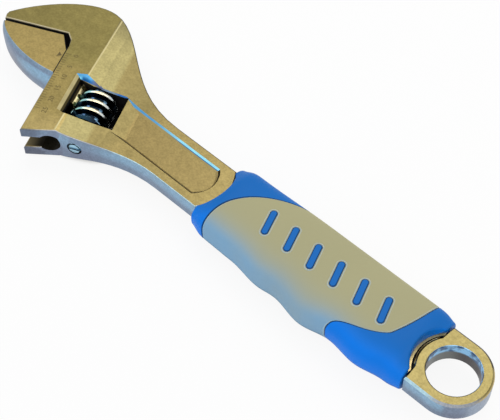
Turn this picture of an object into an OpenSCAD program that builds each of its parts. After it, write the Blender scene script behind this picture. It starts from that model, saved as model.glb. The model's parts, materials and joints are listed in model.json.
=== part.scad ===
// Adjustable wrench of the 200 mm class: forged body, sliding jaw on a round rack,
// worm on a slotted pin, and a two-colour moulded grip.
// Frame: the origin is the centre of the hang hole, +X runs along the handle to the head,
// +Y points to the sliding jaw's side, +Z is up through the thickness.

/* [Head] */
// Angle between the head and the handle
head_angle = 24.4; // [20:0.1:28]
// Hang hole to guide face, along the middle of the handle
handle_len = 167.2; // [150:0.1:190]
// Thickness of the head and of both jaws
head_t = 12.9; // [12:0.1:15]
// Length of the head along the slide, from the fixed jaw's face to the lower end
head_len = 44; // [42:0.1:50]
// Height of the fixed jaw's face above the middle of the handle
face_off = 14.2; // [12:0.1:16]
// Length of the jaws from the guide face to the nose
jaw_len = 26.1; // [22:0.1:30]
// Behind the guide face, where the flat of the head starts to slope to the neck
ridge_back = 11.7; // [10:0.1:13]
// Skew of that ridge line
ridge_skew = 2.2; // [0:0.1:4]
// Height of the head's crest above the fixed jaw's face
crest_rise = 13.5; // [11:0.1:15]
// Length of the neck, from the guide face back to the straight shank
neck_len = 47.2; // [44:0.1:52]

/* [Sliding jaw] */
// Opening between the jaws as the wrench lies here
rest_gap = 1.2; // [0.6:0.1:6]
// How far the jaw's outer wall curves in at its two faces
jaw_draft = 1.2; // [0.5:0.1:3]
// Radius of the round rail that carries the rack
rail_r = 3.6; // [3.4:0.05:3.8]
// Distance of the rail's axis behind the guide face
rail_back = 8.4; // [8.2:0.1:8.8]
// Length of the rail
rail_len = 24.3; // [22:0.1:26]
// Thickness of the web between the rail and the jaw
web_t = 4.5; // [3.5:0.1:5]
// Gap between the rail and its bore, on the radius
rail_fit = 0.1; // [0.05:0.01:0.1]
// Gap between the web and its slot, and between the jaw and the guide face
slide_fit = 0.12; // [0.08:0.01:0.2]

/* [Worm] */
// Pitch of the worm's thread and of the rack
pitch = 3.7; // [3.5:0.05:3.9]
// Outer radius of the worm
worm_r = 6.6; // [6.4:0.05:6.7]
// Depth of the worm's thread
thread_depth = 1.95; // [1.6:0.05:2.1]
// Width of the thread's crest
crest_w = 1; // [0.8:0.05:1.2]
// Lean of the thread's flanks, as width gained for each millimetre of depth
flank_lean = 0.33; // [0.25:0.01:0.4]
// Gap between the worm's crest and the rack's root, and beside each flank
mesh_fit = 0.2; // [0.15:0.01:0.3]
// Distance of the worm's axis behind the guide face
worm_back = 17.05; // [16.9:0.05:17.3]
// Gap between each end of the worm and the window
worm_end_fit = 0.2; // [0.1:0.05:0.4]
// Radius of the worm pin
pin_r = 2.1; // [1.8:0.05:2.2]
// Gap between the pin and the worm's bore, on the radius
pin_fit = 0.08; // [0.04:0.01:0.1]
// Depth of the worm's spring pocket
pocket_depth = 7; // [5:0.1:8]
// Diameter of the spring's wire
wire_d = 0.6; // [0.5:0.05:0.7]

/* [Window] */
// Height of the window above the middle of the handle
window_top = 4.8; // [4:0.1:5.5]
// Length of the window along the slide
window_len = 14.2; // [13.5:0.1:15]
// Width of the window across the worm
window_w = 17.9; // [17:0.1:18.5]
// Distance of the window's front wall behind the guide face
window_front = 9.4; // [9.2:0.1:9.6]
// How far the window's top wall leans out at its front corner
window_taper = 1.9; // [1:0.1:2.5]
// Width of the bevel along the window's front edge
window_bevel = 1.7; // [0.5:0.1:2]

/* [Handle] */
// Width of the shank
shank_w = 18.6; // [16:0.1:20]
// Thickness of the shank
shank_t = 7.4; // [7:0.1:9]
// Thickness of the tang inside the grip
tang_t = 6; // [5:0.1:6.6]
// Diameter of the hang hole
hole_d = 16; // [12:0.1:17]
// Outer diameter of the ring round the hang hole
ring_d = 22.8; // [21:0.1:24]
// Thickness of the ring
ring_t = 7.6; // [7:0.1:9]
// Length of the shoulders that the ring has beside the grip, from the hole's centre
lug_len = 8.8; // [8:0.1:9]
// Depth of the long recess in each face of the shank
recess_depth = 1.2; // [0.8:0.1:2]
// Width of the recess at its floor
recess_w = 10.4; // [9:0.1:12]
// Slope of the recess walls, as width gained for each millimetre of height
recess_lean = 1; // [0.2:0.05:1.2]
// Distance from the grip's front corners to the recess
recess_gap = 1.2; // [1:0.1:6]

/* [Grip] */
// Front end of the grip, at its corners
grip_front = 93.1; // [85:0.1:100]
// Radius of the hollow rear end of the grip, round the hang hole
grip_rear_r = 12.8; // [12.3:0.1:14]
// Half width of the grip on its plain side
grip_back_w = 14.1; // [13:0.1:15]
// How much slimmer the plain side gets towards the front end
back_slim = 0.6; // [0:0.1:2]
// Thickness of the grip
grip_t = 15; // [13.5:0.1:17]
// Thickness of the grey skin
skin_t = 1.7; // [1.2:0.1:2]
// Front end of the grey skin, on the finger side
skin_front = 86.9; // [80:0.1:88]
// Rear end of the grey skin, on the plain side
skin_rear = 16.2; // [15:0.1:20]
// How far the skin's front end runs back towards the plain side
front_sweep = 22.5; // [15:0.1:26]
// Length of the sleeve's lobe along the finger side
lobe_len = 12; // [8:0.1:14]
// Length of each raised bar
bar_len = 9.6; // [6:0.1:10]
// Width of each raised bar
bar_w = 2.5; // [1.5:0.1:3]
// Distance from bar to bar
bar_step = 9.05; // [8:0.05:9.5]
// Place of the first bar along the grip
bar_start = 25.6; // [24:0.1:28]
// Slant of the bars
bar_slant = 20; // [0:1:25]
// How far the bars stand out of the skin
bar_rise = 0.25; // [0.1:0.05:0.5]
// Gap between a bar and the skin round it
bar_fit = 0.04; // [0.02:0.01:0.1]

/* [Hidden] */
$fn = 48;

steel = [0.62, 0.56, 0.36];
dark_steel = [0.25, 0.28, 0.33];
blue = [0.08, 0.42, 0.80];
grey = [0.67, 0.65, 0.55];

// Head places: u runs forward from the guide face, w runs along the slide to the jaw's side.
face_w = -face_off;
low_w = face_w + head_len;
throat = [2.6, 2.7];
jaw_throat = [3.6, 6.1];
rail_u = -rail_back;
worm_u = -worm_back;
window_low = window_top + window_len;
window_rear = -(window_front + window_w);
worm_mid = window_top + window_len / 2;
worm_len = window_len - 2 * worm_end_fit;
jaw_face_w = face_w + rest_gap;
rail_inset = 0.6;
rail_start = jaw_face_w + rail_inset;
bore_r = rail_r + rail_fit;
slot_t = web_t + 2 * slide_fit;
pin_seat_fit = 0.05;
pin_sunk = 2.6;
pin_out = low_w - pin_sunk;
pin_hold = 5.2;
pin_in = window_top - pin_hold;
pin_tip_gap = 0.3;
pocket_wall = 1.2;
pocket_r = pin_r + pocket_wall;
neck_x = handle_len - neck_len;
tang_w = shank_w - 0.4;
ridge_u = -ridge_back;
past = 1;

// Hangs the children on the head's own axes
module in_head() {
    translate([handle_len, 0, 0]) rotate([0, 0, head_angle]) children();
}

// Point of the plan, from a point on the head's axes
function head_point(p) = [
    handle_len + p[0] * cos(head_angle) - p[1] * sin(head_angle),
    p[0] * sin(head_angle) + p[1] * cos(head_angle)
];

// Points of a curve with two end points and two handles, without its last point
function curve(a, b, c, d, steps) = [
    for (i = [0:steps - 1])
        let (t = i / steps, k = 1 - t)
        k * k * k * a + 3 * k * k * t * b + 3 * k * t * t * c + t * t * t * d
];

function smooth(t) = let (k = min(1, max(0, t))) k * k * (3 - 2 * k);

// ---- Body ----

// Front edge of the grip at a distance from the middle: hollow, with two horns
hollow_r = 12.5;
horn_y = 8.8;
function hollow_at(y) = sqrt(hollow_r * hollow_r - y * y);
function grip_front_edge(y) = grip_front + hollow_at(horn_y) - hollow_at(min(abs(y), horn_y));

// Plan of the shank and the head
module head_plan() {
    half = shank_w / 2;
    groove = 0.5;
    shank_end = [for (i = [0:8]) let (y = half - shank_w * i / 8) [grip_front_edge(y) + groove, y]];
    neck = [neck_x, -half];
    crest = head_point([-9.55, face_w - crest_rise]);
    nose = [
        head_point([jaw_len + 0.1, face_w - 3.2]),
        head_point([jaw_len + 0.5, face_w - 1.8]),
        head_point([jaw_len + 0.2, face_w])
    ];
    mouth = [
        head_point([throat[0], face_w]),
        head_point([0.5, face_w + throat[1]]),
        head_point([0, face_w + throat[1] + 2.6])
    ];
    polygon(concat(
        shank_end,
        curve(neck, neck + [25, 0], head_point([-23.2, face_w - 7.3]), crest, 14),
        curve(crest, head_point([0.45, face_w - 18]), head_point([jaw_len - 9, face_w - 11]), nose[0], 14),
        nose,
        mouth,
        [head_point([0, low_w])],
        curve(
            head_point([-11.2, low_w - 3]), head_point([-18.1, low_w - 1.7]),
            [neck_x + 8, half], [neck_x - 8, half], 12
        ),
        [[neck_x - 8, half]]
    ));
}

// Side view of the shank and the head: flat head, sloping neck, flat shank
module side_profile() {
    slope_len = 28;
    slope = curve(
        [ridge_u, head_t / 2], [ridge_u - slope_len / 3, head_t / 2 - 1.75],
        [ridge_u - 0.57 * slope_len, shank_t / 2], [ridge_u - slope_len, shank_t / 2], 10
    );
    upper = concat([[jaw_len + 5, head_t / 2]], slope, [[-handle_len, shank_t / 2]]);
    polygon(concat(upper, [for (i = [len(upper) - 1:-1:0]) [upper[i][0], -upper[i][1]]]));
}

// Long recess in one face of the shank; its floor rises again to the window's edge
module recess_cut() {
    floor_z = shank_t / 2 - recess_depth;
    top_z = shank_t / 2 + 2.6;
    floor_half = recess_w / 2;
    top_half = floor_half + recess_lean * (top_z - floor_z);
    start_x = grip_front + recess_gap;
    ramp_in = 5.2;
    ramp_out = 8.5;
    hull() {
        translate([0, 0, floor_z]) linear_extrude(0.01)
            recess_plan(floor_half, start_x + 1.6, window_rear - ramp_in);
        translate([0, 0, top_z]) linear_extrude(0.01)
            recess_plan(top_half, start_x - 1.4, window_rear + ramp_out);
    }
}

// Plan of the recess: a shallow arc at the grip's end, square to the head at the other
module recess_plan(half, start_x, end_u) {
    bulge = 3;
    head_side = [for (y = [-half, half]) handle_len + (end_u - y * sin(head_angle)) / cos(head_angle)];
    grip_side = [for (i = [0:8]) let (k = 1 - i / 4) [start_x + bulge * k * k, half * k]];
    polygon(concat(grip_side, [[head_side[0], -half], [head_side[1], half]]));
}

// Window of the worm, with a bevelled front edge and a flared top corner on both faces
module window_cut() {
    top_bend = -window_front - 6.9;
    low_bend = worm_u + worm_r + worm_end_fit;
    low_corner = 0.7;
    bevel_depth = 1.3;
    over = 0.3;
    bevel_u = window_bevel * (1 + over / bevel_depth) - window_front;
    linear_extrude(head_t + 2 * past, center = true) window_plan(window_rear, top_bend, low_bend, low_corner);
    for (side = [0, 1]) mirror([0, 0, side]) hull() {
        translate([0, 0, head_t / 2 - bevel_depth]) linear_extrude(0.01)
            window_plan(top_bend - 1.7, top_bend, low_bend, low_corner);
        translate([0, 0, head_t / 2 + over]) linear_extrude(0.1) polygon([
            [top_bend - 2.7, window_top], [top_bend + 0.7, window_top - 1.7],
            [top_bend + 4.9, window_top - 4], [bevel_u, window_top - 3.2],
            [bevel_u, window_low - 1.1], [low_bend, window_low], [top_bend - 2.7, window_low]
        ]);
    }
}

module window_plan(rear, top_bend, low_bend, low_corner) {
    polygon([
        [rear, window_top], [top_bend, window_top], [-window_front, window_top - window_taper],
        [-window_front, window_low - low_corner], [low_bend, window_low], [rear, window_low]
    ]);
}

// Bore and slot that the jaw's rail and web run in, open at the lower end
module keyhole_cut() {
    length = head_len + past;
    translate([rail_u, face_w, 0]) rotate([-90, 0, 0]) cylinder(h = length, r = bore_r);
    reach = rail_back + throat[0] + past;
    translate([rail_u, face_w, -slot_t / 2]) cube([reach, length, slot_t]);
}

// Seats of the worm pin: a hole through the lower arm and a blind hole above the window
module pin_cut() {
    seat_r = pin_r + pin_seat_fit;
    mouth_w = pin_out - 1;
    mouth_gap = 0.4;
    translate([worm_u, pin_in - pin_tip_gap, 0]) rotate([-90, 0, 0]) cylinder(h = low_w - pin_in, r = seat_r);
    translate([worm_u, mouth_w, 0]) rotate([-90, 0, 0]) cylinder(h = low_w - mouth_w, r = seat_r + mouth_gap);
}

module ring() {
    edge = 0.7;
    half = ring_t / 2;
    outer = ring_d / 2;
    rotate_extrude($fn = 72) polygon([
        [0, -half], [outer - edge, -half], [outer, edge - half],
        [outer, half - edge], [outer - edge, half], [0, half]
    ]);
    rotate([90, 0, 90]) linear_extrude(lug_len) polygon([
        [edge - outer, -half], [outer - edge, -half], [outer, edge - half], [outer, half - edge],
        [outer - edge, half], [edge - outer, half], [-outer, half - edge], [-outer, edge - half]
    ]);
}

module body() {
    tang_end = grip_front + 2 * past;
    color(steel) difference() {
        union() {
            ring();
            translate([0, -tang_w / 2, -tang_t / 2]) cube([tang_end, tang_w, tang_t]);
            intersection() {
                linear_extrude(head_t, center = true) head_plan();
                in_head() rotate([0, 0, -ridge_skew]) rotate([90, 0, 0])
                    linear_extrude(4 * handle_len, center = true) side_profile();
            }
        }
        cylinder(h = ring_t + past, d = hole_d, center = true);
        for (side = [0, 1]) mirror([0, 0, side]) recess_cut();
        in_head() {
            window_cut();
            keyhole_cut();
            pin_cut();
        }
    }
}

// ---- Sliding jaw ----

// Outer curve of the jaw from its nose back to the guide
jaw_steps = 12;
jaw_curve = let (
    a = [jaw_len + 1, jaw_face_w],
    b = [jaw_len - 0.4, jaw_face_w + 6],
    c = [jaw_len / 2, jaw_face_w + 15.4],
    d = [slide_fit, jaw_face_w + 17.9]
) concat(curve(a, b, c, d, jaw_steps), [d]);

// Direction out of that curve at one of its points; its two ends stay on the flat faces
function jaw_out(i) =
    i == 0 ? [1, 0] : i == jaw_steps ? [0, 1] : let (
        along = jaw_curve[i + 1] - jaw_curve[i - 1],
        out = [along[1], -along[0]]
    ) out / norm(out);

// Plan of the jaw at a level from -1 to 1 of its half thickness, with its outer wall curved in
function jaw_ring(level) = let (
    z = level * head_t / 2,
    inset = jaw_draft * pow(level, 4),
    relief = [[slide_fit, jaw_face_w + jaw_throat[1]], [jaw_throat[0], jaw_face_w]]
) concat(
    [for (i = [0:jaw_steps]) let (p = jaw_curve[i] - inset * jaw_out(i)) [p[0], p[1], z]],
    [for (p = relief) [p[0], p[1], z]]
);

module jaw_block() {
    levels = [-1, -0.9, -0.75, -0.5, 0, 0.5, 0.75, 0.9, 1];
    n = jaw_steps + 3;
    // the relief's two faces are upright, so only the first and last level use their corners
    rings = [for (level = levels) jaw_ring(level)];
    top = len(levels) - 1;
    side = [for (l = [0:top - 1], i = [0:jaw_steps - 1])
        let (a = l * n + i, b = a + 1)
        each [[a + n, b, a], [a + n, b + n, b]]];
    guide_end = [for (l = [0:top]) l * n + jaw_steps];
    nose_end = [for (l = [top:-1:0]) l * n];
    back = n - 2;
    mouth = n - 1;
    polyhedron([for (r = rings) each r], concat(
        side,
        [concat(guide_end, [top * n + back, back])],
        [[back, top * n + back, top * n + mouth, mouth]],
        [concat([mouth, top * n + mouth], nose_end)],
        [[for (i = [0:n - 1]) i]],
        [[for (i = [n - 1:-1:0]) top * n + i]]
    ));
}

// Space between two teeth of the rack, along the worm's lead
module rack_space(w) {
    root_u = worm_u + worm_r + mesh_fit;
    tip_u = rail_u - rail_r - 0.5;
    root_half = crest_w / 2 + mesh_fit * 0.6;
    tip_half = root_half + flank_lean * (root_u - tip_u);
    translate([0, w, 0]) rotate([lead_angle, 0, 0]) linear_extrude(3 * rail_r, center = true) polygon([
        [tip_u, -tip_half], [root_u, -root_half], [root_u, root_half], [tip_u, tip_half]
    ]);
}
worm_pitch_r = worm_r - thread_depth / 2;
lead_angle = atan(pitch / (2 * PI * worm_pitch_r));

module movable_jaw() {
    web_short = 6;
    first = ceil((rail_start - worm_mid) / pitch);
    last = floor((rail_start + rail_len - worm_mid) / pitch);
    color(steel) in_head() union() {
        jaw_block();
        difference() {
            union() {
                translate([rail_u, rail_start, 0]) rotate([-90, 0, 0]) cylinder(h = rail_len, r = rail_r);
                translate([rail_u, rail_start, -web_t / 2])
                    cube([rail_back + 1, rail_len - web_short, web_t]);
                translate([0, rail_start, -web_t / 2]) cube([4.2, 8, web_t]);
            }
            for (k = [first:last]) rack_space(worm_mid + k * pitch);
        }
    }
}

// ---- Worm, pin and spring ----

// Radius of the thread at an axial distance from the middle of its crest
crown = 0.2;
function thread_radius(a) =
    a <= crest_w / 2 ? worm_r - crown * pow(2 * a / crest_w, 2)
    : max(worm_r - thread_depth, worm_r - crown - (a - crest_w / 2) / flank_lean);

module worm() {
    root_half = crest_w / 2 + flank_lean * (thread_depth - crown);
    crest_a = 180 * crest_w / pitch;
    root_a = 360 * root_half / pitch;
    flank = [for (i = [1:4]) crest_a + (root_a - crest_a) * i / 4];
    angles = concat(
        [for (i = [-2:2]) crest_a * i / 2],
        flank,
        [for (i = [1:6]) root_a + (360 - 2 * root_a) * i / 7],
        [for (i = [3:-1:0]) 360 - flank[i]]
    );
    turn = 360 * worm_len / pitch;
    slices = round(turn / 22.5);
    outline = [for (a = angles) let (r = thread_radius((a > 180 ? 360 - a : abs(a)) * pitch / 360))
        [r * cos(a), r * sin(a)]];
    start_w = worm_mid - worm_len / 2;
    color(dark_steel) in_head() translate([worm_u, start_w, 0]) rotate([-90, 0, 0]) difference() {
        linear_extrude(worm_len, twist = -turn, slices = slices, segments = len(angles))
            rotate(-turn / 2) polygon(outline);
        translate([0, 0, -past]) cylinder(h = worm_len + 2 * past, r = pin_r + pin_fit);
        translate([0, 0, -past]) cylinder(h = pocket_depth + past, r = pocket_r);
    }
}

module worm_pin() {
    slit = 0.7;
    color(dark_steel) in_head() difference() {
        translate([worm_u, pin_in, 0]) rotate([-90, 0, 0]) cylinder(h = pin_out - pin_in, r = pin_r);
        translate([worm_u - 2 * pin_r, pin_out - slit, -slit / 2]) cube([4 * pin_r, slit + past, slit]);
    }
}

// Closed tube swept along points, each with its two cross directions
module tube(path, across, up, r, sides) {
    n = len(path);
    points = [for (i = [0:n - 1], j = [0:sides - 1])
        path[i] + r * (cos(360 * j / sides) * across[i] + sin(360 * j / sides) * up[i])];
    walls = [for (i = [0:n - 2], j = [0:sides - 1])
        let (a = i * sides + j, b = i * sides + (j + 1) % sides)
        each [[b + sides, b, a], [a + sides, b + sides, a]]];
    first_end = [for (j = [0:sides - 1]) j];
    last_end = [for (j = [sides - 1:-1:0]) (n - 1) * sides + j];
    polyhedron(points, concat(walls, [first_end, last_end]));
}

module worm_spring() {
    coil_r = (pin_r + pocket_r) / 2;
    end_gap = 0.03;
    bottom = window_top + wire_d / 2 + end_gap;
    top = window_top + worm_end_fit + pocket_depth - wire_d / 2 - end_gap;
    turns = 5;
    closed = 0.8;
    steps = turns * 14;
    rise = function (t)
        let (k = min(1, max(0, (t * turns - closed) / (turns - 2 * closed)))) bottom + (top - bottom) * k;
    out = [for (i = [0:steps]) let (a = 360 * turns * i / steps) [cos(a), 0, sin(a)]];
    path = [for (i = [0:steps]) coil_r * out[i] + [0, rise(i / steps), 0]];
    color("silver") in_head() translate([worm_u, 0, 0])
        tube(path, out, [for (i = [0:steps]) [0, 1, 0]], wire_d / 2, 6);
}

// ---- Grip ----

columns = 40;
square = 3;
lug_gap = 0.5;
grip_rear = lug_len + lug_gap;
rear_sweep = 8;
lobe_from = 0.36;
lobe_width = 0.59;

// Outline of the grip's section at full size, one point for each column
function side_of(j) = let (c = cos(360 * j / columns)) sign(c) * pow(abs(c), 2 / square);
function lift_of(j) = let (c = sin(360 * j / columns)) sign(c) * pow(abs(c), 2 / square);

// Half width on the finger side: stations of its crests and hollows, with the half width there
fingers = [
    [grip_rear, 13.2], [14.7, 13.1], [24.8, 14.8], [34.6, 13.7], [45.2, 15.7],
    [56.5, 13.9], [63, 14.6], [75, 13.2], [88, 13]
];
function finger_w(x) = let (
    last = len(fingers) - 1,
    at = [for (i = [0:last - 1]) if (x >= fingers[i][0] && x < fingers[i + 1][0]) i]
) x < fingers[0][0] ? fingers[0][1] : len(at) == 0 ? fingers[last][1] : let (
    a = fingers[at[0]],
    b = fingers[at[0] + 1]
) a[1] + (b[1] - a[1]) * smooth((x - a[0]) / (b[0] - a[0]));

// Half width on the plain side
function back_w(x) = grip_back_w - back_slim * smooth((x - 58) / 26);

// How much of the full section is left near the two ends, from the share lost and its length at each end
front_narrow = [0.09, 7];
rear_narrow = [0.05, 6];
front_thin = [0.3, 8];
rear_thin = [0.22, 7];
function lost(end, distance) = end[0] * pow(1 - smooth(distance / end[1]), 2);
function end_scale(x) = 1 - lost(front_narrow, grip_front - x) - lost(rear_narrow, x - grip_rear);
function end_thin(x) = 1 - lost(front_thin, grip_front - x) - lost(rear_thin, x - grip_rear);

// Point of the grip's surface at a place along it, a column, and a depth under the surface
function grip_point(x, j, depth) = let (
    v = side_of(j),
    w = (v > 0 ? finger_w(x) : back_w(x)) * end_scale(x) - depth,
    t = grip_t / 2 * end_thin(x) - depth
) [x, v * w, lift_of(j) * t];

function end_y(v, end, finger_side) = v * (1 - end[0]) * (v > 0 ? finger_side[1] : back_w(finger_side[0]));
function rear_edge(v) = let (y = min(grip_rear_r, abs(end_y(v, rear_narrow, fingers[0]))))
    max(grip_rear, sqrt(grip_rear_r * grip_rear_r - y * y));
function front_edge(v) = grip_front_edge(end_y(v, front_narrow, fingers[len(fingers) - 1]));
function skin_start(v) =
    skin_rear + rear_sweep * pow((1 + v) / 2, 2) + lobe_len * smooth((v - lobe_from) / lobe_width);
function skin_end(v) = skin_front - front_sweep * pow((1 - v) / 2, 3);

function grip_ring(from, to, t, depth) = [for (j = [0:columns - 1])
    let (v = side_of(j), a = from(v), b = to(v)) grip_point(a + (b - a) * t, j, depth)];

// Faces between two rings of points
function band(a, b, inward = false) = [for (j = [0:columns - 1]) let (k = (j + 1) % columns)
    each inward ? [[a + j, a + k, b + k], [a + j, b + k, b + j]]
        : [[b + k, a + k, a + j], [b + j, b + k, a + j]]];

// Upright wall across the section at one end
function end_wall(a, turned) = [for (j = [0:columns / 2 - 1])
    let (
        low = [a + (columns - j) % columns, a + columns - j - 1],
        high = [a + j, a + j + 1],
        face = j == 0 ? [high[0], high[1], low[1]]
            : j == columns / 2 - 1 ? [high[0], high[1], low[0]]
            : [high[0], high[1], low[1], low[0]]
    ) turned ? [for (i = [len(face) - 1:-1:0]) face[i]] : face];

collar_steps = 5;
skin_steps = 20;

module grip_core() {
    rear = function (v) rear_edge(v);
    start = function (v) skin_start(v);
    end = function (v) skin_end(v);
    front = function (v) front_edge(v);
    rings = concat(
        [for (i = [0:collar_steps]) grip_ring(rear, start, i / collar_steps, 0)],
        [for (i = [0:skin_steps]) grip_ring(start, end, i / skin_steps, skin_t)],
        [for (i = [0:collar_steps]) grip_ring(end, front, i / collar_steps, 0)]
    );
    count = len(rings);
    polyhedron(
        [for (r = rings) each r],
        concat(
            end_wall(0, false),
            [for (i = [0:count - 2]) each band(i * columns, (i + 1) * columns)],
            end_wall((count - 1) * columns, true)
        )
    );
}

module skin_shell() {
    start = function (v) skin_start(v);
    end = function (v) skin_end(v);
    outer = [for (i = [0:skin_steps]) each grip_ring(start, end, i / skin_steps, 0)];
    inner = [for (i = [0:skin_steps]) each grip_ring(start, end, i / skin_steps, skin_t)];
    count = skin_steps + 1;
    last = skin_steps * columns;
    under = count * columns;
    polyhedron(
        concat(outer, inner),
        concat(
            [for (i = [0:skin_steps - 1]) each band(i * columns, (i + 1) * columns)],
            [for (i = [0:skin_steps - 1]) each band(under + i * columns, under + (i + 1) * columns, true)],
            band(0, under, true),
            band(under + last, last, true)
        )
    );
}

// Six plain raised bars of the sleeve that show through the skin
module bars(extra) {
    top = grip_t / 2 + bar_rise;
    reach = bar_len / 2 - bar_w / 2;
    r = bar_w / 2 + extra;
    root = grip_t / 2 - skin_t - 0.6;
    bend = grip_t / 2 - 0.2;
    for (i = [0:5]) translate([bar_start + i * bar_step, 0, 0]) rotate([0, 0, bar_slant]) {
        hull() for (y = [-reach, reach])
            translate([0, y, root]) cylinder(h = bend - root, r = r, $fn = 24);
        hull() for (y = [-reach, reach])
            translate([0, y, bend]) cylinder(h = top - bend + extra, r1 = r, r2 = r - 0.3, $fn = 24);
    }
}

module grip_sleeve() {
    color(blue) union() {
        difference() {
            grip_core();
            translate([0, -tang_w / 2, -tang_t / 2]) cube([grip_front + past, tang_w, tang_t]);
        }
        bars(0);
    }
}

module grip_skin() {
    color(grey) difference() {
        skin_shell();
        bars(bar_fit);
    }
}

body();
movable_jaw();
worm();
worm_pin();
worm_spring();
grip_sleeve();
grip_skin();
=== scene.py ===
import json
import math

import bmesh
import bpy
from mathutils import Matrix, Vector

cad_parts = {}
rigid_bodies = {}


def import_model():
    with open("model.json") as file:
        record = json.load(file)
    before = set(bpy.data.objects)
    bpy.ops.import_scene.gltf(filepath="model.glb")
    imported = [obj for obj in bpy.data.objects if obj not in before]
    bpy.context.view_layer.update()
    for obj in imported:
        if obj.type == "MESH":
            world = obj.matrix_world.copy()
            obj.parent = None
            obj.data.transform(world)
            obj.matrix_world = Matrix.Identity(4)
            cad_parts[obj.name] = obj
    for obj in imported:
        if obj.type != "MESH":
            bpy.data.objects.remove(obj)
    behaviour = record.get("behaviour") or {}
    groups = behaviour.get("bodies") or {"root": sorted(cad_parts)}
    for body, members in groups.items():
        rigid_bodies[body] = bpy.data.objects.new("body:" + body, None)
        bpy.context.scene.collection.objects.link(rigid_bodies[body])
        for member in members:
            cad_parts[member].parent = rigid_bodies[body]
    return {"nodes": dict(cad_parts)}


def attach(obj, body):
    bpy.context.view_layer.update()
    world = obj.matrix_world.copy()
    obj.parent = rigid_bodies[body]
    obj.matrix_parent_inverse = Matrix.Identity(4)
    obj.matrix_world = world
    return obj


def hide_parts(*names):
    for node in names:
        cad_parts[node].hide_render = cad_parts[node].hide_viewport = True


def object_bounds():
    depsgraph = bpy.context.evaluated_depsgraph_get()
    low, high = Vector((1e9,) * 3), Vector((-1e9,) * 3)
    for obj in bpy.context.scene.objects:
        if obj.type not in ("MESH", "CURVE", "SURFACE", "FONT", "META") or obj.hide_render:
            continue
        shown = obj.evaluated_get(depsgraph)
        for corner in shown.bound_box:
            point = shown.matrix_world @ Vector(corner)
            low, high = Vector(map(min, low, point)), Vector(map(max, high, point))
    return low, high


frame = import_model()
cadLow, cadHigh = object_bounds()
print("frame loaded")


# sizes are millimetres, as in the part's source; mm() turns them into metres
def mm(value):
    return value / 1000


def smoothStep(t):
    t = min(1.0, max(0.0, t))
    return t * t * (3 - 2 * t)


head = {
    "angle": math.radians(24.4), "reach": 167.2, "thickness": 12.9, "lowEnd": 29.8,
    "railAxis": -8.4, "wormAxis": -17.05,  # u of the rail's bore and of the worm's pin
}


# u runs forward from the guide face and w along the slide
def headPoint(u, w, z=0.0):
    c, s = math.cos(head["angle"]), math.sin(head["angle"])
    return Vector((mm(head["reach"] + u * c - w * s), mm(u * s + w * c), mm(z)))


headPlace = Matrix.Translation(headPoint(0, 0)) @ Matrix.Rotation(head["angle"], 4, "Z")
headInverse = headPlace.inverted()
headU, headW = (headPlace.to_3x3() @ Vector(v) for v in ((1, 0, 0), (0, 1, 0)))


# back from a point in metres to u, w and z in millimetres
def onHead(point):
    return headInverse @ Vector(point) * 1000


# how far a point lies from an axis that runs along the slide at u
def fromAxis(point, u):
    local = onHead(point)
    return math.hypot(local.x - u, local.z)


def addObject(name, data):
    made = bpy.data.objects.new(name, data)
    bpy.context.scene.collection.objects.link(made)
    return made


camera = {
    "lens": 91.045, "sensor": 36, "near": 0.01, "far": 20,
    "eye": (-80.924, 162.579, 315.878),
    "look": (0.415704, -0.422914, -0.805192), "right": (-0.724153, -0.689540, -0.011695),
}
look = Vector(camera["look"]).normalized()
right = Vector(camera["right"])
right = (right - look * right.dot(look)).normalized()
cameraData = bpy.data.cameras.new("camera")
cameraData.sensor_width = camera["sensor"]
cameraData.lens = camera["lens"]
cameraData.clip_start = camera["near"]
cameraData.clip_end = camera["far"]
cameraObject = addObject("camera", cameraData)
cameraTurn = Matrix((right, right.cross(look), -look)).transposed().to_4x4()
cameraObject.matrix_world = Matrix.Translation(Vector(camera["eye"]) / 1000) @ cameraTurn
bpy.context.scene.camera = cameraObject
bpy.context.scene.view_settings.view_transform = "Standard"


# gives an input a plain value or the output of another node
def feed(socket, value):
    if isinstance(value, bpy.types.NodeSocket):
        socket.id_data.links.new(value, socket)
    else:
        socket.default_value = value


# new node in the tree that a socket belongs to, with its inputs by name or number
def nodeBy(socket, kind, inputs, operation=None):
    node = socket.id_data.nodes.new("ShaderNode" + kind)
    if operation:
        node.operation = operation
    for key, value in inputs.items():
        feed(node.inputs[key], value)
    return node


def mathOf(operation, *values):
    return nodeBy(values[0], "Math", dict(enumerate(values)), operation).outputs[0]


def times(first, second):
    return mathOf("MULTIPLY", first, second)


def absolute(value):
    return mathOf("ABSOLUTE", value)


def ranged(value, low, high, toLow=0.0, toHigh=1.0, smooth=True):
    node = nodeBy(value, "MapRange", {
        "Value": value, "From Min": low, "From Max": high, "To Min": toLow, "To Max": toHigh})
    node.interpolation_type = "SMOOTHSTEP" if smooth else "LINEAR"
    return node.outputs["Result"]


# how far the surface faces a direction of the object
def facing(normal, direction):
    return nodeBy(normal, "VectorMath", {0: normal, 1: direction}, "DOT_PRODUCT").outputs["Value"]


# 0 to 1 from one place to another in millimetres: along x, z, u or w, or away from the middle plane
def along(place, axis, first, last):
    direction = {"x": (1, 0, 0), "z": (0, 0, 1), "depth": (0, 0, 1), "u": headU, "w": headW}[axis]
    value = facing(place, direction)
    if axis == "depth":
        value = absolute(value)
    start = direction.dot(headPoint(0, 0)) if axis in ("u", "w") else 0
    return ranged(value, start + mm(first), start + mm(last))


def mixColours(factor, first, second):
    node = nodeBy(factor, "Mix", {0: factor, 6: first, 7: second})
    node.data_type = "RGBA"
    return node.outputs[2]


# lays colours over a first one, each given as axis, first place, last place and colour
def layered(place, colour, *layers):
    for axis, first, last, tone in layers:
        colour = mixColours(along(place, axis, first, last), colour, tone)
    return colour


# makes a colour darker and lighter with a value round 1
def scaled(colour, value):
    given = colour[:3] if isinstance(colour, tuple) else colour
    return nodeBy(value, "VectorMath", {0: given, "Scale": value}, "SCALE").outputs[0]


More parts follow.
